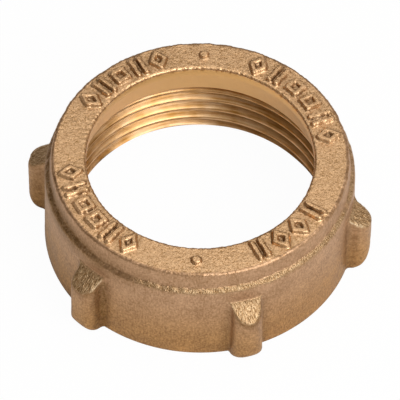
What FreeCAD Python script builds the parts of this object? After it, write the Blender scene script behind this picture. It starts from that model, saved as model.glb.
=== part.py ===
import FreeCAD, Part
import math
import os

# Compression nut for a pipe joint, standing on its threaded mouth.
# One stamped brass ring with six gripping lugs, bored, coned and threaded inside.
# The origin is the centre of the mouth's flat end, and +Z runs up the axis to the closed end.
# Lengths are millimetres, angles are degrees.

# The pipe that passes through the closed end, and the room round it
PIPE_DIAMETER = 28.0
PIPE_CLEARANCE = 0.3

# Inside, from the closed end down to the mouth
BORE_LAND = 1.2
SEAT_LENGTH = 3.8
SEAT_FLARE = 1.0
SEAT_STEP = 1.05
RELIEF_LENGTH = 1.5
THREAD_LENGTH = 8.2
MOUTH_CHAMFER = 0.72

# The right-hand thread, with the flats on its crests and in its roots.
# Its groove leaves through the mouth's end at the angle THREAD_START from +X.
THREAD_PITCH = 1.814
THREAD_DEPTH = 0.9
THREAD_CREST = 0.75
THREAD_ROOT = 0.2
THREAD_START = 234.0

# How much deeper than the thread's roots the relief is, where the thread ends below the seat
RELIEF_ROOM = 0.1

# Outside, from the mouth up to the closed end
SKIRT_WALL = 2.45
SKIRT_DRAFT = 1.5
SHOULDER_STEP = 0.6
COLLAR_HEIGHT = 2.3
COLLAR_DRAFT = 6.5

# Lugs round the skirt: lifted off the mouth's end, and stopping short of the shoulder
LUG_COUNT = 6
LUG_WIDTH = 4.1
LUG_REACH = 2.35
LUG_LIFT = 0.3
LUG_DROP = 2.1
LUG_RAKE = 35.0
LUG_DRAFT = 1.5
LUG_CORNER = 1.5
LUG_EDGE = 0.3

# Share of a lug's reach that its round foot takes, and share of its flat underside that its root fillets take
FOOT_SHARE = 0.65
ROOT_SHARE = 0.85

# Broken edges of the stamping
FACE_EDGE = 0.3
BORE_EDGE = 0.2
SHOULDER_EDGE = 0.45
BASE_EDGE = 0.2

# Largest share of a lug's half width that its rounded corner takes
CORNER_SHARE = 0.9

AXIS = FreeCAD.Vector(0, 0, 1)
ORIGIN = FreeCAD.Vector(0, 0, 0)
NEAR = 1e-4

# Radii, each built outward from the one inside it
bore_r = PIPE_DIAMETER / 2 + PIPE_CLEARANCE
seat_r = bore_r + SEAT_FLARE
thread_r = seat_r + SEAT_STEP
mouth_r = thread_r + MOUTH_CHAMFER
root_r = thread_r + THREAD_DEPTH
relief_r = root_r + RELIEF_ROOM
base_r = relief_r + SKIRT_WALL
lug_r = base_r + LUG_REACH
lug_heel_r = base_r - SKIRT_WALL / 2

# The rounds of a lug's foot and of its roots
foot_r = FOOT_SHARE * LUG_REACH
lug_root_r = ROOT_SHARE * (LUG_REACH - foot_r)

# Levels above the mouth
relief_z = THREAD_LENGTH
seat_z = relief_z + RELIEF_LENGTH
land_z = seat_z + SEAT_LENGTH
height = land_z + BORE_LAND
collar_z = height - COLLAR_HEIGHT
shoulder_z = collar_z - SHOULDER_STEP
lug_z = shoulder_z - LUG_DROP


def slope(degrees):
    """Rise over run of a drafted or raked face."""
    return math.tan(math.radians(degrees))


# The drafted skirt's radius at its top and where the lugs end, then the collar above it
skirt_top_r = base_r - shoulder_z * slope(SKIRT_DRAFT)
skirt_lug_r = base_r - lug_z * slope(SKIRT_DRAFT)
collar_r = skirt_top_r - SHOULDER_STEP
face_r = collar_r - COLLAR_HEIGHT * slope(COLLAR_DRAFT)

# The raked top of a lug, at its heel inside the wall and at its outer end
heel_z = lug_z + (skirt_lug_r - lug_heel_r) * slope(LUG_RAKE)
toe_z = lug_z - (lug_r - skirt_lug_r) * slope(LUG_RAKE)


def rounded_wire(corners):
    """Closed wire through (point, radius) corners, each corner rounded by its own arc."""
    edges = []
    last = None
    first = None
    for i, (point, radius) in enumerate(corners):
        back = (corners[i - 1][0] - point).normalize()
        ahead = (corners[(i + 1) % len(corners)][0] - point).normalize()
        half = back.getAngle(ahead) / 2
        run = radius / math.tan(half)
        start = point + back * run
        end = point + ahead * run
        if last is None:
            first = start
        else:
            edges.append(Part.LineSegment(last, start).toShape())
        if radius > 0:
            crown = point + (back + ahead).normalize() * (radius / math.sin(half) - radius)
            edges.append(Part.Arc(start, crown, end).toShape())
        last = end
    edges.append(Part.LineSegment(last, first).toShape())
    return Part.Wire(edges)


def in_section(r, z, radius=0.0):
    """A corner of a radial section, with the radius that rounds it."""
    return FreeCAD.Vector(r, 0, z), radius


def turned_ring():
    """The ring without its lugs, revolved from its section, with its seam halfway between two lugs."""
    section = rounded_wire([
        in_section(mouth_r, 0),
        in_section(base_r, 0, BASE_EDGE),
        in_section(skirt_top_r, shoulder_z, SHOULDER_EDGE),
        in_section(collar_r, collar_z, SHOULDER_EDGE),
        in_section(face_r, height, FACE_EDGE),
        in_section(bore_r, height, BORE_EDGE),
        in_section(bore_r, land_z),
        in_section(seat_r, seat_z),
        in_section(relief_r, seat_z),
        in_section(relief_r, relief_z),
        in_section(thread_r, relief_z),
        in_section(thread_r, MOUTH_CHAMFER),
    ])
    ring = Part.Face(section).revolve(ORIGIN, AXIS, 360)
    ring.rotate(ORIGIN, AXIS, 180 / LUG_COUNT)
    return ring


def lug_outline(z):
    """Plan of a lug at a level: drafted flanks that start inside the wall, and rounded outer corners."""
    half = LUG_WIDTH / 2 - (z - LUG_LIFT) * slope(LUG_DRAFT)
    corner = min(LUG_CORNER, CORNER_SHARE * half)
    return rounded_wire([
        (FreeCAD.Vector(lug_heel_r, -half, z), 0),
        (FreeCAD.Vector(lug_r, -half, z), corner),
        (FreeCAD.Vector(lug_r, half, z), corner),
        (FreeCAD.Vector(lug_heel_r, half, z), 0),
    ])


def lug():
    """One lug on the +X side, its top raked down towards its outer end, its foot round and its edges soft."""
    column = Part.makeLoft([lug_outline(LUG_LIFT), lug_outline(heel_z)], True, True)
    profile = Part.Face(rounded_wire([
        in_section(lug_heel_r, LUG_LIFT),
        in_section(lug_r, LUG_LIFT, foot_r),
        in_section(lug_r, toe_z),
        in_section(lug_heel_r, heel_z),
    ])).extrude(FreeCAD.Vector(0, LUG_WIDTH, 0))
    profile.translate(FreeCAD.Vector(0, -LUG_WIDTH / 2, 0))
    block = column.common(profile)
    top = max(block.Faces, key=lambda face: face.CenterOfMass.z)
    brow = [edge for edge in top.Edges if edge.BoundBox.XMax > lug_heel_r + NEAR]
    return block.makeFillet(LUG_EDGE, brow)


def blend_roots(nut):
    """Fillet where each lug's flanks run into the skirt."""
    cones = [face for face in nut.Faces if isinstance(face.Surface, Part.Cone)]
    skirt = max(cones, key=lambda face: face.Area)
    roots = [edge for edge in skirt.Edges
             if LUG_LIFT - NEAR < edge.BoundBox.ZMin < toe_z < edge.BoundBox.ZMax]
    return nut.makeFillet(lug_root_r, roots)


def thread_groove():
    """The cut between the thread's crests, swept up a helix from below the mouth into the relief."""
    width = THREAD_PITCH - THREAD_CREST
    spare = THREAD_ROOT / 4
    lean = (width - THREAD_ROOT) / 2 / THREAD_DEPTH
    open_r = thread_r - spare / lean
    open_half = width / 2 + spare
    section = rounded_wire([
        in_section(open_r, -open_half),
        in_section(root_r, -THREAD_ROOT / 2),
        in_section(root_r, THREAD_ROOT / 2),
        in_section(open_r, open_half),
    ])
    rise = THREAD_PITCH + (relief_z + seat_z) / 2
    helix = Part.makeHelix(THREAD_PITCH, rise, thread_r)
    groove = helix.makePipeShell([section], True, True)
    groove.translate(AXIS * -THREAD_PITCH)
    groove.rotate(ORIGIN, AXIS, THREAD_START)
    return groove


def compression_nut():
    """The whole nut: the ring and its lugs as one solid, with the thread cut into its mouth."""
    lugs = []
    for index in range(LUG_COUNT):
        one = lug()
        one.rotate(ORIGIN, AXIS, 360 / LUG_COUNT * index)
        lugs.append(one)
    return blend_roots(turned_ring().fuse(lugs).removeSplitter()).cut(thread_groove())


os.makedirs("parts", exist_ok=True)
compression_nut().exportStep("parts/compression_nut.step")
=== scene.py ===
"""A brass compression nut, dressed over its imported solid.

Sizes in the classes are millimetres, and the meshes are made in metres.
The nut stands on its threaded mouth, with +Z up its axis to the closed end.
"""

import logging
import math
from dataclasses import dataclass, field
from enum import Enum

import bpy
import numpy as np
from mathutils import Matrix, Vector, noise

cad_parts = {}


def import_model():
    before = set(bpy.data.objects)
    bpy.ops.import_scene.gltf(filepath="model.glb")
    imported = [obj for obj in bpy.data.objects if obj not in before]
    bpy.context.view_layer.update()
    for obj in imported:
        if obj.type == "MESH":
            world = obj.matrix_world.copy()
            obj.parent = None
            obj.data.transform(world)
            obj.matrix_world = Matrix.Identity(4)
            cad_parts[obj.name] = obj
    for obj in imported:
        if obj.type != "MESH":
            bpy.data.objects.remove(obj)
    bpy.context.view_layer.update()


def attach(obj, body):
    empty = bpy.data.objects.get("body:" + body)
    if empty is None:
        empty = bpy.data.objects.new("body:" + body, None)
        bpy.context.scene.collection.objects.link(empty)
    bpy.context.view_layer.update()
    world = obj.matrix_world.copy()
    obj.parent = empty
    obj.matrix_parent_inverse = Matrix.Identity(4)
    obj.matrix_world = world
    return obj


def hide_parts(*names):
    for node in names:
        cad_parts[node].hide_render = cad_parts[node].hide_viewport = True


# What a node is added to, and what can feed its inputs.
Tree = bpy.types.NodeTree
Source = bpy.types.Node | bpy.types.NodeSocket

# Two numbers that go together, such as a radius and a height, or a range's ends.
Pair = tuple[float, float]

LOG = logging.getLogger("compression_nut")
MM = 0.001
NODE = "compression_nut"

# Millimetres too small to matter, in place of nothing where a length divides.
TINY = 1e-6

# Numbers of a mix node's two colour inputs, whose names its other inputs share.
COLOUR_A = 6
COLOUR_B = 7

# The limits of a range node.
LIMITS = ("From Min", "From Max", "To Min", "To Max")

# Columns round the nut: on the closed end, on the outer wall and inside the mouth.
FINE = 960
BROAD = 480
PLAIN = 240
LUG_COUNT = 6
SECTOR = 2 * math.pi / LUG_COUNT

# The mesh's own values at each point: how far it is torn, how far painted shade darkens it,
# and how far its edge is worn smooth and lightened by a painted highlight.
TORN = "torn"
SHARES = (TORN, "scaled", "rubbed")

# The photograph's view: degrees round from -Y, degrees above the floor, and millimetres away.
# Then degrees of roll, the lens, and how far up and aside of the origin it looks, in millimetres.
VIEW_AZIMUTH = 12.6
VIEW_ELEVATION = 52.6
VIEW_DISTANCE = 444.7
VIEW_ROLL = 0.86
VIEW_LENS = 312.0
VIEW_RISE = 3.50
VIEW_ASIDE = 0.10

# The side that faces the camera, as an angle from +X.
FRONT = math.radians(VIEW_AZIMUTH - 90)


class Zone(Enum):
    """The stretches of surface that have a finish of their own, numbered by material slot."""

    FACE = 0
    WALL = 1
    TURNED = 2


def linear(colour: str) -> tuple[float, float, float, float]:
    """Turn an sRGB hex colour into the linear colour that a shader takes.

    Args:
        colour: six hex digits after a hash.

    Returns:
        Red, green, blue and alpha.
    """
    parts = [int(colour[i:i + 2], 16) / 255 for i in (1, 3, 5)]
    red, green, blue = [c / 12.92 if c <= 0.04045 else ((c + 0.055) / 1.055) ** 2.4 for c in parts]
    return red, green, blue, 1.0


def per_metre(size: float) -> float:
    """Scale of a texture whose features are this many millimetres across."""
    return 1.0 / (size * MM)


def add_node(tree: Tree, kind: str, settings: dict | None = None,
             links: dict | None = None) -> bpy.types.Node:
    """Add one node with its settings and links.

    Args:
        tree: the tree that takes the node.
        kind: the node's type name, without the prefix that all shader nodes have.
        settings: values by attribute name, or by socket name or number for an input. The name
            stops gives a colour ramp its places, and then its sRGB hex colours.
        links: what feeds an input, by the input's name or number: an output socket, or a node for
            the first of its outputs that is in use.

    Returns:
        The new node.
    """
    node = tree.nodes.new("ShaderNode" + kind)
    for name, value in (settings or {}).items():
        if name == "stops":
            elements = node.color_ramp.elements
            while len(elements) < len(value[0]):
                elements.new(0.5)
            for element, place, colour in zip(elements, *value):
                element.position = place
                element.color = linear(colour)
        elif isinstance(name, str) and hasattr(node, name):
            setattr(node, name, value)
        else:
            node.inputs[name].default_value = value
    for name, source in (links or {}).items():
        if isinstance(source, bpy.types.Node):
            source = next(socket for socket in source.outputs if socket.enabled)
        tree.links.new(source, node.inputs[name])
    return node


def bare_tree(owner: bpy.types.Material | bpy.types.World) -> Tree:
    """Switch a material or a world to nodes, and empty its tree."""
    owner.use_nodes = True
    owner.node_tree.nodes.clear()
    return owner.node_tree


def add_object(name: str, data: bpy.types.ID) -> bpy.types.Object:
    """Put a mesh, a lamp or a camera into the scene."""
    item = bpy.data.objects.new(name, data)
    bpy.context.scene.collection.objects.link(item)
    return item


@dataclass(frozen=True)
class Skin:
    """What a finish gives the metal at each point: colour, roughness and relief in metres."""

    colour: Source
    rough: Source
    relief: Source


@dataclass(frozen=True)
class Brass:
    """What every finish of the nut's brass shares: a varied metal skin, darkened in its hollows by
    painted shade.
    """

    name: str
    roughness: Pair = (0.44, 0.56)
    height: float = 0.03
    wear_range: Pair = (0.3, 0.7)
    # How far ambient occlusion looks for hollows, and the colour, share and range of the painted shade
    # laid there.
    hollow: float = 1.0
    hollow_shade_colour: str = "#5E4527"
    hollow_shade_share: float = 0.9
    hollow_shade_range: Pair = (0.25, 0.95)
    hollow_samples: int = 8
    ring_r: float = 20.0

    def skin(self, tree: Tree, place: Source) -> Skin:
        """Lay the finish's own pattern.

        Args:
            tree: the material's tree.
            place: the place on the nut in metres.

        Returns:
            What the pattern gives the metal.
        """
        raise NotImplementedError

    def drawn(self, tree: Tree, place: Source, width: float, run: float) -> Source:
        """Noise drawn out up and down the nut's wall, with the seam of its angle at the back.

        Args:
            tree: the material's tree.
            place: the place on the nut in metres.
            width: millimetres across a streak.
            run: millimetres along a streak.

        Returns:
            The noise, about 0.5.
        """
        turned = add_node(tree, "Mapping", {"Rotation": (0.0, 0.0, math.pi / 2)}, {"Vector": place})
        axes = add_node(tree, "SeparateXYZ", links={"Vector": turned}).outputs
        angle = add_node(tree, "Math", {"operation": "ARCTAN2"}, {0: axes["Y"], 1: axes["X"]})
        round_way = add_node(tree, "Math", {"operation": "MULTIPLY", 1: self.ring_r / width}, {0: angle})
        up_way = add_node(tree, "Math", {"operation": "MULTIPLY", 1: per_metre(run)}, {0: axes["Z"]})
        along = add_node(tree, "CombineXYZ", links={"X": round_way, "Y": up_way})
        return add_node(tree, "TexNoise", {"Scale": 1.0}, {"Vector": along})

    def worn(self, tree: Tree, colour: Source, wear: Source, relief: Source) -> Skin:
        """Spread a finish's patterns over its roughness and its height.

        Args:
            tree: the material's tree.
            colour: the metal's colour.
            wear: a value about 0.5 that spreads the roughness over its range.
            relief: a value from 0 to 1 that raises the surface by up to the finish's height.

        Returns:
            What the finish gives the metal.
        """
        spread = dict(zip(LIMITS, self.wear_range + self.roughness))
        rough = add_node(tree, "MapRange", spread, {"Value": wear})
        raised = add_node(tree, "Math", {"operation": "MULTIPLY", 1: self.height * MM}, {0: relief})
        return Skin(colour, rough, raised)

    def material(self) -> bpy.types.Material:
        """Build the material: the finish's skin, darkened in the hollows by painted shade, over a metal
        shader.
        """
        material = bpy.data.materials.new(self.name)
        tree = bare_tree(material)
        skin = self.skin(tree, add_node(tree, "TexCoord").outputs["Object"])
        # Painted shade: the colour is darkened where ambient occlusion finds the surface hemmed in.
        nearby = {"samples": self.hollow_samples, "only_local": True, "Distance": self.hollow * MM}
        open_share = add_node(tree, "AmbientOcclusion", nearby).outputs["AO"]
        fade = dict(zip(LIMITS, (*self.hollow_shade_range, self.hollow_shade_share, 0.0)))
        in_shade = add_node(tree, "MapRange", fade, {"Value": open_share})
        shade_mix = {"data_type": "RGBA", "blend_type": "MULTIPLY", COLOUR_B: linear(self.hollow_shade_colour)}
        colour = add_node(tree, "Mix", shade_mix, {"Factor": in_shade, COLOUR_A: skin.colour})
        bump = add_node(tree, "Bump", {"Strength": 1.0, "Distance": 1.0}, {"Height": skin.relief})
        shader = add_node(tree, "BsdfPrincipled", {"Metallic": 1.0},
                          {"Base Color": colour, "Roughness": skin.rough, "Normal": bump})
        add_node(tree, "OutputMaterial", links={"Surface": shader})
        return material


@dataclass(frozen=True)
class BlastedBrass(Brass):
    """Hot-stamped brass, shot-blasted: a pale sandy skin whose small facets each catch the light."""

    name: str = "brass_stamped_and_blasted"
    roughness: Pair = (0.36, 0.48)
    height: float = 0.035
    # Painted shade round the raised marks' feet and in the rims' corners.
    hollow: float = 0.9
    hollow_shade_colour: str = "#453A2C"
    hollow_shade_share: float = 1.0
    tones: tuple[str, ...] = ("#B48A58", "#E6BC90", "#F8D1A3")
    places: tuple[float, ...] = (0.32, 0.5, 0.66)
    grit: float = 0.17
    patch: float = 4.0
    patch_share: float = 0.15

    def skin(self, tree: Tree, place: Source) -> Skin:
        """Lay even grit over faint patches."""
        grit, patch = [add_node(tree, "TexNoise", {"Scale": per_metre(size)}, {"Vector": place})
                       for size in (self.grit, self.patch)]
        tone = add_node(tree, "Mix", {"Factor": self.patch_share}, {"A": grit, "B": patch})
        colour = add_node(tree, "ValToRGB", {"stops": (self.places, self.tones)}, {"Fac": tone})
        return self.worn(tree, colour, patch, grit)


@dataclass(frozen=True)
class StampedBrass(Brass):
    """Brass as the die left it: dull, browner towards the mouth, its grain drawn up the wall."""

    name: str = "brass_stamped"
    low_tones: tuple[str, str] = ("#966F47", "#CB9F69")
    high_tones: tuple[str, str] = ("#A9835F", "#D5AF8C")
    places: Pair = (0.38, 0.62)
    low_z: float = 1.0
    high_z: float = 12.0
    grit: float = 0.26
    grain: float = 0.22
    grain_run: float = 0.6
    grain_share: float = 0.45
    patch: float = 2.6
    patch_detail: float = 4.0
    patch_share: float = 0.3

    def skin(self, tree: Tree, place: Source) -> Skin:
        """Lay grit and upright grain over patches, in colours that change with height."""
        patched = {"Scale": per_metre(self.patch), "Detail": self.patch_detail}
        patch = add_node(tree, "TexNoise", patched, {"Vector": place})
        even = add_node(tree, "TexNoise", {"Scale": per_metre(self.grit)}, {"Vector": place})
        upright = self.drawn(tree, place, self.grain, self.grain_run)
        grit = add_node(tree, "Mix", {"Factor": self.grain_share}, {"A": even, "B": upright})
        tone = add_node(tree, "Mix", {"Factor": self.patch_share}, {"A": grit, "B": patch})
        low, high = [add_node(tree, "ValToRGB", {"stops": (self.places, tones)}, {"Fac": tone})
                     for tones in (self.low_tones, self.high_tones)]
        level = add_node(tree, "SeparateXYZ", links={"Vector": place}).outputs["Z"]
        climb = {"From Min": self.low_z * MM, "From Max": self.high_z * MM,
                 "interpolation_type": "SMOOTHSTEP"}
        rise = add_node(tree, "MapRange", climb, {"Value": level})
        colour = add_node(tree, "Mix", {"data_type": "RGBA"},
                          {"Factor": rise, COLOUR_A: low, COLOUR_B: high})
        return self.worn(tree, colour, patch, grit)


@dataclass(frozen=True)
class TornBrass(Brass):
    """Brass sheared where flash was trimmed: broken metal in short specks, some of them glinting."""

    name: str = "brass_torn"
    roughness: Pair = (0.4, 0.48)
    height: float = 0.15
    tones: tuple[str, ...] = ("#96724A", "#BF9C74", "#DFC199")
    places: tuple[float, ...] = (0.4, 0.5, 0.62)
    speck: float = 0.13
    speck_run: float = 0.36
    pit: float = 0.12
    pit_share: float = 0.4

    def skin(self, tree: Tree, place: Source) -> Skin:
        """Lay short specks over pits."""
        pit = add_node(tree, "TexNoise", {"Scale": per_metre(self.pit)}, {"Vector": place})
        speck = self.drawn(tree, place, self.speck, self.speck_run)
        broken = add_node(tree, "Mix", {"Factor": self.pit_share}, {"A": speck, "B": pit})
        colour = add_node(tree, "ValToRGB", {"stops": (self.places, self.tones)}, {"Fac": broken})
        return self.worn(tree, colour, pit, broken)


@dataclass(frozen=True)
class TrimmedBrass(Brass):
    """Stamped brass, flash trimmed: torn there, darkened by painted shade, and lit by painted highlights
    at worn edges.
    """

    name: str = "brass_stamped_and_trimmed"
    plain: StampedBrass = StampedBrass()
    torn: TornBrass = TornBrass()
    ragged: float = 0.3
    torn_range: Pair = (0.75, 1.25)
    # Painted shade: a colour multiplied in by the mesh's shade share, in full from the given share.
    shade_colour: str = "#BAB094"
    shade_full: float = 0.5
    # Painted highlight: a pale colour mixed onto worn edges, which are also made smoother.
    rubbed_glint_colour: str = "#FFE6C0"
    rubbed_rough: float = 0.34
    rubbed_glint_range: Pair = (0.06, 0.3)

    def skin(self, tree: Tree, place: Source) -> Skin:
        """Blend the finishes by the torn share, then paint shade and edge highlights by the other
        shares.
        """
        plain, torn = self.plain.skin(tree, place), self.torn.skin(tree, place)
        ragged = add_node(tree, "TexNoise", {"Scale": per_metre(self.ragged)}, {"Vector": place})
        tear, scale, edge = [add_node(tree, "Attribute", {"attribute_name": name}).outputs["Fac"]
                             for name in SHARES]
        frayed = add_node(tree, "Math", {"operation": "ADD"}, {0: tear, 1: ragged})
        share = add_node(tree, "MapRange", dict(zip(LIMITS, self.torn_range)), {"Value": frayed})
        ragged_shade, broken = [add_node(tree, "Math", {"operation": "MULTIPLY"}, {0: whole, 1: ragged})
                          for whole in (scale, edge)]
        kept = add_node(tree, "MapRange", {"From Max": self.shade_full}, {"Value": ragged_shade})
        rubbed = add_node(tree, "MapRange", dict(zip(LIMITS, self.rubbed_glint_range)), {"Value": broken})
        bare = add_node(tree, "Mix", {"data_type": "RGBA"},
                        {"Factor": share, COLOUR_A: plain.colour, COLOUR_B: torn.colour})
        # Painted shade, broken up by the ragged noise, multiplied into the bare metal.
        shade_mix = {"data_type": "RGBA", "blend_type": "MULTIPLY", COLOUR_B: linear(self.shade_colour)}
        scaled = add_node(tree, "Mix", shade_mix, {"Factor": kept, COLOUR_A: bare})
        # Painted highlight on the worn edges.
        colour = add_node(tree, "Mix", {"data_type": "RGBA", COLOUR_B: linear(self.rubbed_glint_colour)},
                          {"Factor": rubbed, COLOUR_A: scaled})
        dull = add_node(tree, "Mix", links={"Factor": share, "A": plain.rough, "B": torn.rough})
        rough = add_node(tree, "Mix", {"B": self.rubbed_rough}, {"Factor": rubbed, "A": dull})
        relief = add_node(tree, "Mix", links={"Factor": share, "A": plain.relief, "B": torn.relief})
        return Skin(colour, rough, relief)


@dataclass(frozen=True)
class TurnedBrass(Brass):
    """Brass turned on a lathe: golden and smooth, with the tool's fine rings round the axis."""

    name: str = "brass_turned"
    roughness: Pair = (0.32, 0.42)
    height: float = 0.004
    # Painted shade, deep and golden, in the thread's grooves and in the relief under the seat's
    # overhang.
    hollow: float = 2.5
    hollow_shade_colour: str = "#6A4415"
    hollow_shade_share: float = 0.85
    tones: tuple[str, ...] = ("#B88746", "#E0B47E", "#F4D2A6")
    places: tuple[float, ...] = (0.36, 0.5, 0.64)
    # The seat and the hole's wall take a lighter, more golden tone: lighter partly as a painted
    # reflection of the bright floor they face.
    seat_colour: str = "#EDBC79"
    seat_z: float = 9.0
    feed: float = 0.18   # the true feed is about 0.1, drawn coarser so that it shows
    feed_run: float = 14.0
    feed_detail: float = 3.0
    feed_rough: float = 0.6
    patch: float = 2.0
    patch_detail: float = 4.0
    patch_share: float = 0.4

    def skin(self, tree: Tree, place: Source) -> Skin:
        """Lay fine rings over faint patches."""
        stretch = [per_metre(size) for size in (self.feed_run, self.feed_run, self.feed)]
        along = add_node(tree, "Mapping", {"Scale": stretch}, {"Vector": place})
        ringed = {"Scale": 1.0, "Detail": self.feed_detail, "Roughness": self.feed_rough}
        rings = add_node(tree, "TexNoise", ringed, {"Vector": along})
        patched = {"Scale": per_metre(self.patch), "Detail": self.patch_detail}
        patch = add_node(tree, "TexNoise", patched, {"Vector": place})
        tone = add_node(tree, "Mix", {"Factor": self.patch_share}, {"A": rings, "B": patch})
        thread = add_node(tree, "ValToRGB", {"stops": (self.places, self.tones)}, {"Fac": tone})
        level = add_node(tree, "SeparateXYZ", links={"Vector": place}).outputs["Z"]
        above = add_node(tree, "Math", {"operation": "GREATER_THAN", 1: self.seat_z * MM}, {0: level})
        colour = add_node(tree, "Mix", {"data_type": "RGBA", COLOUR_B: linear(self.seat_colour)},
                          {"Factor": above, COLOUR_A: thread})
        return self.worn(tree, colour, tone, rings)


@dataclass
class Row:
    """One closed line of points round the nut.

    The zone is that of the strip from this row to the next, the two heights are how far fine and
    coarse roughness move the row's points, and the shares are those of SHARES for each point.
    """

    points: np.ndarray
    zone: Zone
    fine: float = 0.0
    coarse: float = 0.0
    shares: float | np.ndarray = 0.0

    def all_shares(self) -> np.ndarray:
        """The shares as one line for each point."""
        return np.broadcast_to(self.shares, (len(self.points), len(SHARES)))


def even_angles(count: int) -> np.ndarray:
    """Angles of evenly spaced columns, from halfway between two lugs."""
    return -SECTOR / 2 + np.arange(count) * 2 * math.pi / count


def ring(radius: float | np.ndarray, z: float | np.ndarray, angles: np.ndarray) -> np.ndarray:
    """Points at a radius and a height on the given angles.

    Args:
        radius: one radius, or one for each angle.
        z: one height, or one for each angle.
        angles: the columns' angles.

    Returns:
        One point for each angle.
    """
    heights = np.broadcast_to(z, angles.shape)
    return np.column_stack([radius * np.cos(angles), radius * np.sin(angles), heights])


def ramp(values: np.ndarray, start: float, end: float) -> np.ndarray:
    """Values as a share from 0 at the start to 1 at the end, and level beyond both."""
    return np.clip((values - start) / (end - start), 0, 1)


def bend(before: Pair, corner: Pair, after: Pair, radius: float, steps: int) -> list[Pair]:
    """Round one corner of the section.

    Args:
        before: the corner ahead of it, as radius and height.
        corner: the corner itself.
        after: the corner that follows.
        radius: the radius of the rounding.
        steps: how many pieces the arc has.

    Returns:
        Points along the arc, both ends included.
    """
    point = Vector(corner)
    back = (Vector(before) - point).normalized()
    ahead = (Vector(after) - point).normalized()
    half = back.angle(ahead) / 2
    centre = point + (back + ahead).normalized() * (radius / math.sin(half))
    start = point + back * (radius / math.tan(half)) - centre
    turn = start.angle_signed(point + ahead * (radius / math.tan(half)) - centre)
    arc = [Matrix.Rotation(-turn * i / steps, 2) @ start + centre for i in range(steps + 1)]
    return [(p.x, p.y) for p in arc]


class MarkShape(Enum):
    """Plain raised marks, as lines through points that lie along the ring and out from the axis."""

    TWIN = (((-0.55, -1.2), (-0.55, 1.2)), ((0.55, -1.2), (0.55, 1.2)))
    DIAMOND = (((0.0, -1.2), (0.85, 0.0), (0.0, 1.2), (-0.85, 0.0), (0.0, -1.2)),)
    SQUARE = (((-0.75, -0.8), (0.75, -0.8), (0.75, 0.8), (-0.75, 0.8), (-0.75, -0.8)),)
    PIP = (((0.0, 0.0), (0.0, 0.0)),)

    def strokes(self) -> list[tuple]:
        """The straight strokes of the lines, each as its two ends."""
        return [ends for line in self.value for ends in zip(line, line[1:])]


TWIN, DIAMOND, SQUARE, PIP = MarkShape


@dataclass(frozen=True)
class MarkGroup:
    """A run of marks along an arc of the closed end, by degrees right of the front."""

    start: float
    end: float
    shapes: tuple[MarkShape, ...]


@dataclass
class RaisedMarks:
    """The stamped marks that stand up from the closed end."""

    radius: float = 16.4
    stroke: float = 0.2
    pip: float = 0.45
    relief: float = 0.45
    flank: float = 0.28
    wander: float = 0.08
    wander_size: float = 0.5
    reach: float = 2.0
    groups: tuple[MarkGroup, ...] = (
        MarkGroup(-165, -117, (DIAMOND, TWIN, SQUARE, TWIN, DIAMOND)),
        MarkGroup(-84, -27, (DIAMOND, TWIN, SQUARE, SQUARE, TWIN, DIAMOND)),
        MarkGroup(22, 64, (TWIN, DIAMOND, DIAMOND, TWIN)),
        MarkGroup(97, 159, (DIAMOND, TWIN, SQUARE, SQUARE, TWIN, DIAMOND)),
    )
    pips: tuple[float, ...] = (-1.0, 179.0)

    def placed(self) -> list[tuple[float, MarkShape]]:
        """Every mark with its angle round the nut."""
        marks = [(angle, PIP) for angle in self.pips]
        for group in self.groups:
            pitch = (group.end - group.start) / len(group.shapes)
            marks += [(group.start + (i + 0.5) * pitch, shape) for i, shape in enumerate(group.shapes)]
        return [(FRONT + math.radians(angle), shape) for angle, shape in marks]

    def height(self, points: np.ndarray) -> np.ndarray:
        """How far the marks lift each point of the closed end.

        Args:
            points: points on the plain face.

        Returns:
            One height for each point.
        """
        lifted = np.zeros(len(points))
        radius = np.hypot(points[:, 0], points[:, 1])
        turn = np.arctan2(points[:, 1], points[:, 0])
        for angle, shape in self.placed():
            away = (turn - angle + math.pi) % (2 * math.pi) - math.pi
            near = np.flatnonzero(np.abs(away) * self.radius < self.reach)
            across, out = away[near] * radius[near], radius[near] - self.radius
            width = self.pip if shape is PIP else self.stroke
            gap = np.full(len(near), np.inf)
            for (x0, y0), (x1, y1) in shape.strokes():
                dx, dy = x1 - x0, y1 - y0
                along = ((across - x0) * dx + (out - y0) * dy) / max(dx ** 2 + dy ** 2, TINY)
                along = np.clip(along, 0, 1)
                gap = np.minimum(gap, np.hypot(across - x0 - along * dx, out - y0 - along * dy))
            ragged = np.array([noise.noise(Vector(p) / self.wander_size) for p in points[near]])
            share = np.clip((width + self.flank - gap + self.wander * ragged) / self.flank, 0, 1)
            lifted[near] = np.maximum(lifted[near], self.relief * share * share * (3 - 2 * share))
        return lifted


@dataclass
class ClosedEnd:
    """The flat ring round the pipe hole, with its two rims and its raised marks."""

    bore_r: float = 14.3
    face_r: float = 18.63
    height: float = 14.7
    bore_edge: float = 0.33
    face_edge: float = 0.42
    marks: RaisedMarks = field(default_factory=RaisedMarks)
    bore_steps: int = 3
    face_rows: int = 38
    rim_steps: int = 4
    grain: float = 0.02
    swell: float = 0.02
    rim_grain: float = 0.065
    rim_swell: float = 0.08

    def rows(self, land_z: float, collar: Pair) -> list[Row]:
        """Rows from the hole's rim out to the collar.

        Args:
            land_z: height of the hole's wall below the rim.
            collar: radius and height of the collar's foot.

        Returns:
            The rows in order.
        """
        hole, outer = (self.bore_r, self.height), (self.face_r, self.height)
        inner_arc = bend((self.bore_r, land_z), hole, outer, self.bore_edge, self.bore_steps)
        outer_arc = bend(hole, outer, collar, self.face_edge, self.rim_steps)
        angles = even_angles(FINE)
        rows = [Row(ring(r, z, angles), Zone.FACE, self.rim_grain, self.swell) for r, z in inner_arc]
        for r in np.linspace(inner_arc[-1][0], outer_arc[0][0], self.face_rows + 1)[1:-1]:
            points = ring(r, self.height, angles)
            points[:, 2] += self.marks.height(points)
            rows.append(Row(points, Zone.FACE, self.grain, self.swell))
        for r, z in outer_arc:
            rows.append(Row(ring(r, z, angles), Zone.WALL, self.rim_grain, self.rim_swell))
        return rows


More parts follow.
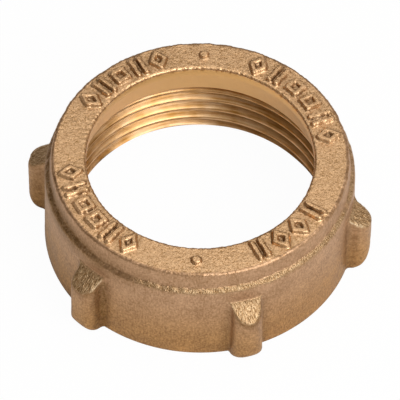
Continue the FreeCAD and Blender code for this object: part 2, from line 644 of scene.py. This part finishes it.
@dataclass(frozen=True)
class Lug:
    """One gripping lug, drawn along +X before it is turned to its place.

    The columns are those of half its front, a corner, a flank, a root and half the gap to the next
    lug. The shade and the worn edge pairs are for the sides of its lesser and its greater angles: how
    dark painted shade makes the flank and root, and how far a painted highlight lightens the brow. The
    brow is how dark painted shadow makes the front just under the raked top.
    """

    end_r: float = 22.15
    width: float = 4.1
    lift: float = 0.3
    draft: float = 1.5
    corner: float = 1.7
    foot: float = 1.53
    root: float = 0.7
    heel_z: float = 9.7
    rake: float = 35.0
    columns: tuple[int, int, int, int, int] = (4, 9, 5, 6, 16)
    # How dark painted shade makes each flank and root, by side, and over how many columns it fades.
    scale: Pair = (0.25, 0.25)
    scale_fade: int = 2
    # How far a painted highlight lightens the worn brow on each side, and over how many columns.
    rubbed: Pair = (0.0, 0.0)
    rubbed_columns: int = 2
    # Painted shadow on the front just under the raked top, and how deep it reaches.
    brow: float = 0.0
    brow_depth: float = 0.7

    def plan(self, z: float, skirt_r: float) -> tuple[np.ndarray, np.ndarray]:
        """Half of the wall's outline at a level, from the lug's middle to halfway to the next lug.

        Args:
            z: the level.
            skirt_r: the skirt's radius there.

        Returns:
            Radii and angles of the columns.
        """
        front, corner, flank, root, gap = self.columns
        half = self.width / 2 - (z - self.lift) * math.tan(math.radians(self.draft))
        side_x, side_y = self.end_r - self.corner, half - self.corner
        root_x = math.sqrt((skirt_r + self.root) ** 2 - (half + self.root) ** 2)
        root_angle = math.atan2(half + self.root, root_x)
        turn = np.linspace(0, math.pi / 2, corner + 1)[1:]
        sweep = np.linspace(1.5 * math.pi, math.pi + root_angle, root + 1)[1:]
        rest = np.linspace(root_angle, SECTOR / 2, gap + 1)[1:]
        x = np.r_[np.full(front + 1, self.end_r), side_x + self.corner * np.cos(turn),
                  np.linspace(side_x, root_x, flank + 1)[1:],
                  root_x + self.root * np.cos(sweep), skirt_r * np.cos(rest)]
        y = np.r_[np.linspace(0, side_y, front + 1), side_y + self.corner * np.sin(turn),
                  np.full(flank, half),
                  half + self.root + self.root * np.sin(sweep), skirt_r * np.sin(rest)]
        return np.hypot(x, y), np.arctan2(y, x)

    def root_end(self) -> int:
        """Number of the column where the lug's root meets the skirt."""
        return sum(self.columns[:4])

    def own_share(self) -> np.ndarray:
        """How far each column belongs to the lug: wholly up to its root, and then less and less."""
        root, last = self.columns[3], self.root_end()
        share = np.zeros(sum(self.columns) + 1)
        share[:last - root] = 1
        share[last - root:last + 1] = np.linspace(1, 0, root + 1)
        return share

    def scaled(self) -> np.ndarray:
        """How far painted shade darkens each column: wholly on flank and root, and fading to both sides.
        """
        side, last = sum(self.columns[:2]), self.root_end()
        fade = np.linspace(0, 1, self.columns[1] // 3 + 2)[1:-1]
        away = np.linspace(1, 0, self.scale_fade + 2)[1:-1]
        share = np.zeros(sum(self.columns) + 1)
        share[side - len(fade):side] = fade
        share[side:last] = 1
        share[last:last + len(away)] = away
        return share

    def cut(self, radii: np.ndarray, angles: np.ndarray, skirt_r: float,
            stand: float) -> tuple[np.ndarray, np.ndarray]:
        """Cut an outline back to a distance from the skirt, spreading the columns over the cut.

        Args:
            radii: the outline's radii.
            angles: the outline's angles.
            skirt_r: the skirt's radius.
            stand: the greatest distance from the skirt.

        Returns:
            The new radii and angles.
        """
        last = self.root_end()
        spread = angles.copy()
        spread[:last + 1] = np.linspace(0, angles[last], last + 1)
        proud = np.maximum(radii - skirt_r, TINY)
        share = np.clip((proud - stand) / proud, 0, 1)
        return skirt_r + np.minimum(proud, stand), angles + share * (spread - angles)


@dataclass(frozen=True)
class Level:
    """One row across a lug: heights on the skirt and the lug, how far it stands out, and its shares."""

    skirt_z: float
    lug_z: float
    stand: float
    torn: float = 0.0
    scaled: float = 1.0
    rubbed: float = 0.0


@dataclass
class Wall:
    """The outside of the nut: the collar, the rough shoulder, and the drafted skirt with its lugs.

    The from and to pairs are where a share is none and where it is full, in degrees right of the front.
    """

    base_r: float = 19.8
    draft: float = 1.5
    shoulder_z: float = 11.8
    shoulder_step: float = 0.6
    shoulder_edge: float = 0.5
    wander: float = 0.2
    wander_size: float = 0.6
    wander_seeds: Pair = (0.5, 9.5)
    torn_patch: float = 3.3
    torn_least: float = 0.45
    torn_middle: float = 0.8
    torn_spread: float = 0.6
    torn_from: Pair = (-40.0, 0.0)
    torn_to: Pair = (150.0, 120.0)
    # Painted shade on the shoulder's left side, away from the light, from none to full and back.
    scale: float = 0.8
    shade_from: Pair = (-15.0, -55.0)
    shade_to: Pair = (-175.0, -125.0)
    base_edge: float = 0.2
    # Lugs with heavier painted shade on one flank, painted shadow under brows and painted highlights on
    # brows.
    lugs: tuple[Lug, ...] = (
        Lug(corner=1.5, rubbed=(1.0, 0.0)),
        Lug(),
        Lug(),
        Lug(corner=1.25, end_r=22.3, brow=0.5),
        Lug(corner=1.3, foot=1.2, scale=(0.25, 0.75), rubbed=(0.0, 1.0), brow=0.7),
        Lug(brow=0.8),
    )
    grain: float = 0.006
    swell: float = 0.03
    torn_grain: float = 0.1
    top_slack: float = 0.02
    collar_rows: int = 6
    edge_steps: int = 3
    shoulder_rows: int = 5
    upper_rows: int = 6
    front_rows: int = 15
    foot_rows: int = 9
    under_rows: int = 5
    soft_steps: int = 12
    fade_steps: int = 4
    soft_pull: float = 0.5

    def skirt_r(self, z: float | np.ndarray) -> float | np.ndarray:
        """The drafted skirt's radius at a level."""
        return self.base_r - z * math.tan(math.radians(self.draft))

    def collar_foot(self) -> Pair:
        """Radius and height where the collar meets the shoulder."""
        return self.skirt_r(self.shoulder_z) - self.shoulder_step, self.shoulder_z + self.shoulder_step

    def levels(self, lug: Lug) -> list[Level]:
        """The rows that cross a lug: over its raked top, down its front, round its foot and under it.

        Args:
            lug: the lug.

        Returns:
            The rows in order.
        """
        heel_r = self.skirt_r(lug.heel_z)
        radii, _ = lug.plan(lug.heel_z, heel_r)
        slope = math.tan(math.radians(lug.rake))
        front, corner = lug.columns[0], lug.columns[0] + lug.columns[1]
        # One row for every second column of the root and the flank, and for each one of the corner
        steps = [*range(lug.root_end() - 2, corner, -2), *range(corner, front, -1), 0]
        stands = [0.0] + [radii[j] - heel_r for j in steps]
        rows = []
        for stand in stands:
            z = lug.heel_z - stand * slope
            # The edges' wear and painted highlight are fainter near the heel and towards the outer end
            rubbed = min(3 * stand, 2 - 2 * stand / stands[-1], 1)
            rows.append(Level(z, z, stand, 1.0, min(stand, 1), rubbed))
        foot_z = lug.lift + lug.foot
        # Further than the lug stands out, so that nothing is cut off its front
        whole = 2 * (lug.end_r - heel_r)
        for z in np.linspace(rows[-1].lug_z, foot_z, self.front_rows + 1)[1:]:
            rows.append(Level(z, z, whole))
        low = np.linspace(foot_z, self.base_edge, self.foot_rows + self.under_rows + 1)[1:]
        for i, skirt_z in enumerate(low):
            angle = math.pi / 2 * min((i + 1) / self.foot_rows, 1)
            z = foot_z - lug.foot * math.sin(angle)
            stand = lug.end_r - lug.foot * (1 - math.cos(angle)) - self.skirt_r(z)
            under = max(i + 1 - self.foot_rows, 0) / self.under_rows
            rows.append(Level(skirt_z, z, stand * (1 - under)))
        return rows

    def sector(self, lug: Lug, index: int, level: Level) -> tuple[np.ndarray, np.ndarray]:
        """One lug's share of a row.

        Args:
            lug: the lug.
            index: the lug's number round the nut.
            level: the row across the lug.

        Returns:
            The points, and the shares at each of them.
        """
        lug_r = self.skirt_r(level.lug_z)
        radii, angles = lug.plan(level.lug_z, lug_r)
        own = lug.own_share() == 1
        top = (radii - lug_r >= level.stand - self.top_slack) & own
        depth = lug.heel_z - (radii - lug_r) * math.tan(math.radians(lug.rake)) - level.lug_z
        # Painted shadow on the front just under the raked top.
        in_shade = lug.brow * ramp(depth, lug.brow_depth, 0.0) * own
        radii, angles = lug.cut(radii, angles, lug_r, level.stand)
        heights = level.skirt_z + lug.own_share() * (level.lug_z - level.skirt_z)
        radii = radii + self.skirt_r(heights) - lug_r
        last = len(radii) - 1
        both = np.r_[last:0:-1, 0:last]
        sides = np.repeat([-1, 1], last)
        turns = angles[both] * sides + SECTOR * index
        torn = level.torn * top[both]
        # Painted shade on flanks and roots, with the painted shadow under the brow, none where torn.
        scaled = np.where(sides < 0, *lug.scale) * lug.scaled()[both] * level.scaled
        scaled = np.maximum(scaled, in_shade[both]) * (1 - torn)
        # The brow's edge columns, which take the worn edge's painted highlight.
        brow = top & ~np.roll(top, -lug.rubbed_columns)
        rubbed = np.where(sides < 0, *lug.rubbed) * brow[both] * level.rubbed
        return ring(radii[both], heights[both], turns), np.column_stack([torn, scaled, rubbed])

    def soften(self, rows: list[Row]) -> None:
        """Round the lugs' edges, moving each point towards the middle of its neighbours.

        Args:
            rows: the rows that cross the lugs, with the row above them first and the last one kept.
        """
        shares = [lug.own_share() for lug in self.lugs]
        share = np.concatenate([np.r_[own[:0:-1], own[:-1]] for own in shares])
        pull = self.soft_pull * share[None, :, None]
        grid = np.stack([np.column_stack([row.points, row.all_shares()]) for row in rows])
        for step in range(self.soft_steps):
            part = grid if step < self.fade_steps else grid[:, :, :3]
            beside = (np.roll(part, 1, axis=1) + np.roll(part, -1, axis=1))[1:-1]
            middle = (beside + part[:-2] + part[2:]) / 4
            part[1:-1] += pull * (middle - part[1:-1])
        for row, moved in zip(rows, grid):
            row.points = moved[:, :3]
            row.shares = moved[:, 3:]

    def trimmed(self, angles: np.ndarray) -> np.ndarray:
        """How far the shoulder is torn, in patches, and how far painted shade darkens it at each angle.

        Args:
            angles: the columns' angles.

        Returns:
            The shares for each angle.
        """
        away = np.degrees((angles - FRONT + math.pi) % (2 * math.pi) - math.pi)
        most = ramp(away, *self.torn_from) * ramp(away, *self.torn_to)
        patch = self.uneven(angles, self.torn_patch, 0.0)
        share = self.torn_least + (1 - self.torn_least) * most
        torn = share * np.clip(self.torn_middle + self.torn_spread * patch, 0, 1)
        scaled = self.scale * ramp(away, *self.shade_from) * ramp(away, *self.shade_to)
        return np.column_stack([torn, scaled, np.zeros(len(angles))])

    def uneven(self, angles: np.ndarray, size: float, seed: float) -> np.ndarray:
        """Noise round the wall.

        Args:
            angles: the columns' angles.
            size: millimetres across its features.
            seed: a number that sets one run apart from another.

        Returns:
            One value about 0 for each angle.
        """
        places = [Vector((math.cos(a), math.sin(a), 0)) * self.base_r / size for a in angles]
        return np.array([noise.noise(place + Vector((0, 0, seed))) for place in places])

    def rows(self, rim: Pair) -> list[Row]:
        """Rows from the collar's top down to the base.

        Args:
            rim: radius and height of the closed end's outer rim.

        Returns:
            The rows in order.
        """
        foot = self.collar_foot()
        brow = (self.skirt_r(self.shoulder_z), self.shoulder_z)
        upper = bend(rim, foot, brow, self.shoulder_edge, self.edge_steps)
        lower = bend(foot, brow, (self.base_r, 0.0), self.shoulder_edge, self.edge_steps)
        even = even_angles(BROAD)
        shares = self.trimmed(even)
        # The painted shade share alone, which darkens the collar above the shoulder and the skirt below
        # it.
        in_shade = shares * (0, 1, 0)
        rows = []
        for share in np.linspace(0, 1, self.collar_rows + 1)[1:-1]:
            r, z = np.array(rim) + share * (np.array(upper[0]) - np.array(rim))
            rows.append(Row(ring(r, z, even), Zone.WALL, self.grain, self.swell, in_shade * share))
        ledge = [*upper, *np.linspace(upper[-1], lower[0], self.shoulder_rows)[1:-1], *lower]
        high, low = [self.wander * self.uneven(even, self.wander_size, seed)
                     for seed in self.wander_seeds]
        for share, (r, z) in zip(np.linspace(0, 1, len(ledge)), ledge):
            place = ring(r, z + (1 - share) * high + share * low, even)
            own = np.maximum(shares * math.sin(math.pi * share), in_shade)
            rows.append(Row(place, Zone.WALL, self.grain, self.swell, own))
        crossing = []
        for levels in zip(*[self.levels(lug) for lug in self.lugs]):
            sectors = [self.sector(lug, i, levels[i]) for i, lug in enumerate(self.lugs)]
            points, own = [np.concatenate(parts) for parts in zip(*sectors)]
            crossing.append(Row(points, Zone.WALL, self.grain, self.swell, own))
        laid = np.unwrap(np.arctan2(crossing[0].points[:, 1], crossing[0].points[:, 0]))
        laid += even[0] - laid[0]
        heel_z = self.lugs[0].heel_z
        # Painted shade fading out down the skirt under the shoulder.
        for share in np.linspace(0, 1, self.upper_rows + 1)[1:-1]:
            z = lower[-1][1] + share * (heel_z - lower[-1][1])
            turns = even + share * (laid - even)
            own = in_shade * (1 - share)
            rows.append(Row(ring(self.skirt_r(z), z, turns), Zone.WALL, self.grain, self.swell, own))
        self.soften(rows[-1:] + crossing)
        return rows + crossing


@dataclass
class ThreadedMouth:
    """The turned inside: the flat end, the threaded mouth, the relief, the seat and the hole's wall."""

    base_r: float = 19.8
    base_edge: float = 0.2
    mouth_chamfer: float = 0.72
    crest_r: float = 16.35
    pitch: float = 1.814
    depth: float = 0.9
    crest: float = 0.1
    root: float = 0.1
    crest_z: float = 7.5
    crest_turn: float = math.radians(VIEW_AZIMUTH + 90)
    thread_end: float = 8.2
    runout: float = 8.0
    relief_r: float = 17.35
    seat_z: float = 9.7
    seat_r: float = 15.3
    land_z: float = 13.5
    land: float = 0.8
    bore_r: float = 14.3
    edge_grain: float = 0.004
    edge_steps: int = 4
    flat_shares: tuple[float, ...] = (0.3, 0.65)
    thread_rows: int = 64
    relief_rows: int = 3
    step_rows: int = 4
    seat_rows: int = 7

    def inner_r(self, z: float, angles: np.ndarray) -> np.ndarray:
        """Radius of the threaded wall at a level.

        Args:
            z: the level.
            angles: the columns' angles.

        Returns:
            One radius for each angle.
        """
        phase = (z - self.crest_z) / self.pitch - (angles - self.crest_turn) / (2 * math.pi)
        from_crest = np.abs(phase - np.round(phase)) * self.pitch
        flank = np.clip((2 * from_crest - self.crest) / (self.pitch - self.crest - self.root), 0, 1)
        groove = self.crest_r + self.depth * (0.5 - 0.5 * np.cos(math.pi * flank))
        chamfer = self.crest_r + self.mouth_chamfer - z
        end = self.relief_r - self.runout * (self.thread_end - z)
        return np.maximum(np.maximum(groove, chamfer), end)

    def rows(self, skirt: Pair) -> list[Row]:
        """Rows from the base's outer edge, over the flat end and up inside to the hole's rim.

        Args:
            skirt: radius and height of a point on the skirt above the base.

        Returns:
            The rows in order.
        """
        outer, angles = even_angles(BROAD), even_angles(PLAIN)
        base = (self.base_r, 0.0)
        edge = bend(skirt, base, (self.crest_r, 0.0), self.base_edge, self.edge_steps)
        rows = [Row(ring(r, z, outer), Zone.WALL, self.edge_grain) for r, z in edge]
        rows[-1].zone = Zone.TURNED
        mouth = self.inner_r(0.0, angles)
        flat_r = edge[-1][0]
        thread = np.linspace(0, self.thread_end, self.thread_rows + 1)
        relief = np.linspace(self.thread_end, self.seat_z, self.relief_rows + 1)[1:]
        step = np.linspace(self.relief_r, self.seat_r, self.step_rows + 1)[1:]
        seat, land = (self.seat_r, self.seat_z), (self.bore_r, self.land_z)
        inside = [(flat_r + share * (mouth - flat_r), 0.0) for share in self.flat_shares]
        inside += [(self.inner_r(z, angles), z) for z in thread]
        inside += [(self.relief_r, z) for z in relief] + [(r, self.seat_z) for r in step]
        inside += list(np.linspace(seat, land, self.seat_rows + 1)[1:])
        inside += [(self.bore_r, self.land_z + self.land / 2)]
        rows += [Row(ring(r, z, angles), Zone.TURNED) for r, z in inside]
        rows.append(Row(ring(self.bore_r, self.land_z + self.land, outer), Zone.TURNED))
        return rows


@dataclass
class CompressionNut:
    """The whole nut as one closed skin of rows, each joined to the next and the last to the first."""

    closed_end: ClosedEnd = field(default_factory=ClosedEnd)
    wall: Wall = field(default_factory=Wall)
    mouth: ThreadedMouth = field(default_factory=ThreadedMouth)
    fine_size: float = 0.34
    coarse_size: float = 1.3
    sharp: float = 42.0

    def rows(self) -> list[Row]:
        """Every row, from the hole's rim over the outside and back up the inside."""
        end = self.closed_end.rows(self.mouth.land_z, self.wall.collar_foot())
        rim = end[-1].points[0]
        side = self.wall.rows((math.hypot(*rim[:2]), rim[2]))
        inside = self.mouth.rows((self.wall.skirt_r(1.0), 1.0))
        return end + side + inside

    def stitch(self, rows: list[Row]) -> tuple[list[tuple[int, ...]], list[int]]:
        """Join each row to the next, halving or doubling the columns where their numbers differ.

        Args:
            rows: the rows in order.

        Returns:
            The faces, and the zone number of each.
        """
        starts = np.r_[0, np.cumsum([len(row.points) for row in rows])]
        faces, zones = [], []
        for k, row in enumerate(rows):
            after = (k + 1) % len(rows)
            a, b = starts[k], starts[after]
            n, m = len(row.points), len(rows[after].points)
            few, many = (b, a) if n > m else (a, b)
            for j in range(min(n, m)):
                i = (j + 1) % min(n, m)
                if n == m:
                    joined = [(a + j, b + j, b + i, a + i)]
                else:
                    p, q, r = many + 2 * j, many + 2 * j + 1, many + (2 * j + 2) % max(n, m)
                    joined = [(p, few + j, q), (q, few + j, few + i), (q, few + i, r)]
                if n < m:
                    joined = [(q, p, r) for p, q, r in joined]
                faces += joined
                zones += [row.zone.value] * len(joined)
        return faces, zones

    def roughen(self, mesh: bpy.types.Mesh, rows: list[Row]) -> None:
        """Move the points along their normals by fine and coarse roughness, and store their shares.

        Args:
            mesh: the nut's mesh, in metres.
            rows: the rows that it was made from.
        """
        counts = [len(row.points) for row in rows]
        fine = np.repeat([row.fine for row in rows], counts)
        coarse = np.repeat([row.coarse for row in rows], counts)
        shares = dict(zip(SHARES, np.concatenate([row.all_shares() for row in rows]).T))
        for name, share in shares.items():
            mesh.attributes.new(name, "FLOAT", "POINT").data.foreach_set("value", share.copy())
        fine = fine + shares[TORN] * self.wall.torn_grain
        points, normals = np.zeros((2, len(mesh.vertices) * 3))
        mesh.vertices.foreach_get("co", points)
        mesh.vertex_normals.foreach_get("vector", normals)
        points, normals = points.reshape(-1, 3), normals.reshape(-1, 3)
        for i in np.flatnonzero(fine + coarse > 0):
            place = Vector(points[i]) / MM
            move = fine[i] * noise.noise(place / self.fine_size)
            move += coarse[i] * noise.noise(place / self.coarse_size)
            points[i] += normals[i] * move * MM
        mesh.vertices.foreach_set("co", points.ravel())
        mesh.update()

    def build(self) -> bpy.types.Object:
        """Make the nut's mesh, with each face given its zone's material index."""
        rows = self.rows()
        faces, zones = self.stitch(rows)
        points = np.concatenate([row.points for row in rows]) * MM
        mesh = bpy.data.meshes.new("nut_skin")
        mesh.from_pydata(points.tolist(), [], [tuple(map(int, face)) for face in faces])
        mesh.polygons.foreach_set("material_index", zones)
        self.roughen(mesh, rows)
        mesh.shade_smooth()
        mesh.set_sharp_from_angle(angle=math.radians(self.sharp))
        return add_object("nut_skin", mesh)

    def dress(self, nut: bpy.types.Object) -> None:
        """Give each zone of the nut that build() made its finish."""
        finishes = {Zone.FACE: BlastedBrass(), Zone.WALL: TrimmedBrass(), Zone.TURNED: TurnedBrass()}
        for zone in Zone:
            nut.data.materials.append(finishes[zone].material())


@dataclass(frozen=True)
class Softbox:
    """A square lamp, placed by degrees right of the camera and degrees above the floor."""

    name: str
    azimuth: float
    elevation: float
    distance: float
    size: float
    watts: float
    colour: str = "#FFFFFF"


@dataclass
class Studio:
    """The white floor, the soft lamps and the camera."""

    floor_size: float = 4000.0
    floor_gap: float = 0.02
    paper_colour: str = "#F4F4F4"
    white: str = "#FFFFFF"
    shadow_share: float = 0.03
    mirrored_shadow: float = 0.8
    world_colour: str = "#FFEFD8"
    world_azimuth: float = 50.0   # degrees right of the camera, where the world is brightest
    world_strength: Pair = (0.12, 0.5)
    lamps: tuple[Softbox, ...] = (
        Softbox("key", 42, 48, 450, 300, 1.4, "#F6FAFF"),
        Softbox("overhead", 180, 75, 600, 500, 0.9),
    )
    clip_near: float = 10.0
    clip_far: float = 20000.0

    def outward(self, azimuth: float, elevation: float) -> Vector:
        """Direction from the nut, by degrees right of the camera and above the floor."""
        a, e = math.radians(azimuth + VIEW_AZIMUTH), math.radians(elevation)
        return Vector((math.sin(a) * math.cos(e), -math.cos(a) * math.cos(e), math.sin(e)))

    def floor(self) -> bpy.types.Object:
        """Lay the floor, white to the eye and in reflections, with the nut's shadow kept on it."""
        half, z = self.floor_size * MM / 2, -self.floor_gap * MM
        corners = [(-half, -half, z), (half, -half, z), (half, half, z), (-half, half, z)]
        mesh = bpy.data.meshes.new("floor")
        mesh.from_pydata(corners, [], [(0, 1, 2, 3)])
        material = bpy.data.materials.new("white_paper")
        tree = bare_tree(material)
        path = add_node(tree, "LightPath").outputs
        straight = add_node(tree, "Math", {"operation": "MAXIMUM"},
                            {0: path["Is Camera Ray"], 1: path["Is Transmission Ray"]})
        seen = add_node(tree, "Math", {"operation": "MULTIPLY", 1: 1 - self.shadow_share}, {0: straight})
        mirrored = add_node(tree, "Math", {"operation": "MULTIPLY", 1: 1 - self.mirrored_shadow},
                            {0: path["Is Glossy Ray"]})
        share = add_node(tree, "Math", {"operation": "MAXIMUM"}, {0: seen, 1: mirrored})
        paper = add_node(tree, "BsdfDiffuse", {"Color": linear(self.paper_colour)})
        white = add_node(tree, "Emission", {"Color": linear(self.white), "Strength": 1.0})
        mixed = add_node(tree, "MixShader", links={0: share, 1: paper, 2: white})
        add_node(tree, "OutputMaterial", links={"Surface": mixed})
        mesh.materials.append(material)
        return add_object("floor", mesh)

    def light(self) -> None:
        """Set the world's light, brighter to one side, and the lamps."""
        world = bpy.data.worlds.new("studio")
        tree = bare_tree(world)
        sky = add_node(tree, "TexCoord").outputs["Generated"]
        across = add_node(tree, "VectorMath",
                          {"operation": "DOT_PRODUCT", 1: self.outward(self.world_azimuth, 0)}, {0: sky})
        spread = dict(zip(LIMITS, (-1.0, 1.0, *self.world_strength)))
        strength = add_node(tree, "MapRange", spread, {"Value": across})
        light = add_node(tree, "Background", {"Color": linear(self.world_colour)},
                         {"Strength": strength})
        add_node(tree, "OutputWorld", links={"Surface": light})
        bpy.context.scene.world = world
        for lamp in self.lamps:
            data = bpy.data.lights.new(lamp.name, "AREA")
            data.shape = "SQUARE"
            data.size = lamp.size * MM
            data.energy = lamp.watts
            data.color = linear(lamp.colour)[:3]
            away = self.outward(lamp.azimuth, lamp.elevation)
            item = add_object(lamp.name, data)
            item.location = away * lamp.distance * MM
            item.rotation_mode = "QUATERNION"
            item.rotation_quaternion = away.to_track_quat("Z", "Y")

    def camera(self) -> None:
        """Stand the camera where the photograph was taken from."""
        back = self.outward(0, VIEW_ELEVATION)
        level = Vector((0, 0, 1)).cross(back).normalized()
        upright = back.cross(level)
        roll = math.radians(VIEW_ROLL)
        right = level * math.cos(roll) + upright * math.sin(roll)
        up = upright * math.cos(roll) - level * math.sin(roll)
        place = back * VIEW_DISTANCE
        sight = (place - up * VIEW_RISE - right * VIEW_ASIDE).normalized()
        right = up.cross(sight).normalized()
        up = sight.cross(right)
        data = bpy.data.cameras.new("camera")
        data.lens = VIEW_LENS
        data.clip_start = self.clip_near * MM
        data.clip_end = self.clip_far * MM
        item = add_object("camera", data)
        turn = Matrix((right, up, sight)).transposed().to_4x4()
        item.matrix_world = Matrix.Translation(place * MM) @ turn
        bpy.context.scene.camera = item


def main() -> None:
    """Load the frame, build and dress the nut, and set up the studio."""
    logging.basicConfig(level=logging.INFO, format="%(name)s: %(message)s")
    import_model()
    maker = CompressionNut()
    nut = maker.build()
    maker.dress(nut)
    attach(nut, "root")
    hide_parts(NODE)
    LOG.info("nut_skin: %d points, %d faces", len(nut.data.vertices), len(nut.data.polygons))
    studio = Studio()
    studio.floor()
    studio.light()
    studio.camera()
    LOG.info("studio: %d lamps", len(studio.lamps))
    bpy.context.scene.view_settings.view_transform = "Standard"


if __name__ == "__main__":
    main()
